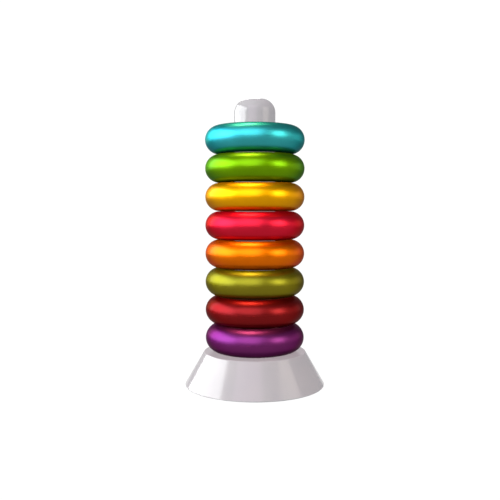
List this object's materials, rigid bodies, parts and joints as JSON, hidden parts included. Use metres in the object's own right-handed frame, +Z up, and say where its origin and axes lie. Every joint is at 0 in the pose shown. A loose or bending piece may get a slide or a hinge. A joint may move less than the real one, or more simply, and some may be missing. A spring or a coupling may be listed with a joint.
{
  "type": "ring stacking tower",
  "caption": "Stacking tower: equal hollow rings in metallic colours lift one after another off a domed peg that stands in a flared conical base.",
  "frame": {"origin": "on the table, under the middle of the base (the plane of the foot pads)", "axes": "+Z up along the peg; the tower is round, and +Y runs from the front foot pad to the rear one"},
  "size_m": [0.1132, 0.1132, 0.232],
  "materials": {
    "white_plastic": "smooth white moulded plastic, glossy",
    "cover_plastic": "fine matt moulded texture",
    "screw_steel": "zinc plated",
    "pad_rubber": "matt grey rubber",
    "purple_lacquer": "tinted purple lacquer over a bright metallised coat",
    "maroon_lacquer": "tinted maroon lacquer over a bright metallised coat",
    "olive_lacquer": "tinted olive lacquer over a bright metallised coat",
    "orange_lacquer": "tinted orange lacquer over a bright metallised coat",
    "crimson_lacquer": "tinted crimson lacquer over a bright metallised coat",
    "yellow_lacquer": "tinted yellow lacquer over a bright metallised coat",
    "green_lacquer": "tinted green lacquer over a bright metallised coat",
    "teal_lacquer": "tinted teal lacquer over a bright metallised coat"
  },
  "bodies": {
    "base": {"base_shell": "white_plastic", "base_cover": "cover_plastic", "cover_screws": "screw_steel", "peg": "white_plastic", "peg_screws": "screw_steel", "foot_pad_front": "pad_rubber", "foot_pad_right": "pad_rubber", "foot_pad_rear": "pad_rubber", "foot_pad_left": "pad_rubber"},
    "purple_ring": {"purple_ring_lower": "purple_lacquer", "purple_ring_upper": "purple_lacquer"},
    "maroon_ring": {"maroon_ring_lower": "maroon_lacquer", "maroon_ring_upper": "maroon_lacquer"},
    "olive_ring": {"olive_ring_lower": "olive_lacquer", "olive_ring_upper": "olive_lacquer"},
    "orange_ring": {"orange_ring_lower": "orange_lacquer", "orange_ring_upper": "orange_lacquer"},
    "crimson_ring": {"crimson_ring_lower": "crimson_lacquer", "crimson_ring_upper": "crimson_lacquer"},
    "yellow_ring": {"yellow_ring_lower": "yellow_lacquer", "yellow_ring_upper": "yellow_lacquer"},
    "green_ring": {"green_ring_lower": "green_lacquer", "green_ring_upper": "green_lacquer"},
    "teal_ring": {"teal_ring_lower": "teal_lacquer", "teal_ring_upper": "teal_lacquer"}
  },
  "joints": [
    {"name": "lift_purple", "type": "slide", "parent": "base", "child": "purple_ring", "axis": [0, 0, 1], "range_m": [0, 0.209]},
    {"name": "lift_maroon", "type": "slide", "parent": "purple_ring", "child": "maroon_ring", "axis": [0, 0, 1], "range_m": [0, 0.1862]},
    {"name": "lift_olive", "type": "slide", "parent": "maroon_ring", "child": "olive_ring", "axis": [0, 0, 1], "range_m": [0, 0.1634]},
    {"name": "lift_orange", "type": "slide", "parent": "olive_ring", "child": "orange_ring", "axis": [0, 0, 1], "range_m": [0, 0.1406]},
    {"name": "lift_crimson", "type": "slide", "parent": "orange_ring", "child": "crimson_ring", "axis": [0, 0, 1], "range_m": [0, 0.1178]},
    {"name": "lift_yellow", "type": "slide", "parent": "crimson_ring", "child": "yellow_ring", "axis": [0, 0, 1], "range_m": [0, 0.095]},
    {"name": "lift_green", "type": "slide", "parent": "yellow_ring", "child": "green_ring", "axis": [0, 0, 1], "range_m": [0, 0.0722]},
    {"name": "lift_teal", "type": "slide", "parent": "green_ring", "child": "teal_ring", "axis": [0, 0, 1], "range_m": [0, 0.0494]}
  ]
}
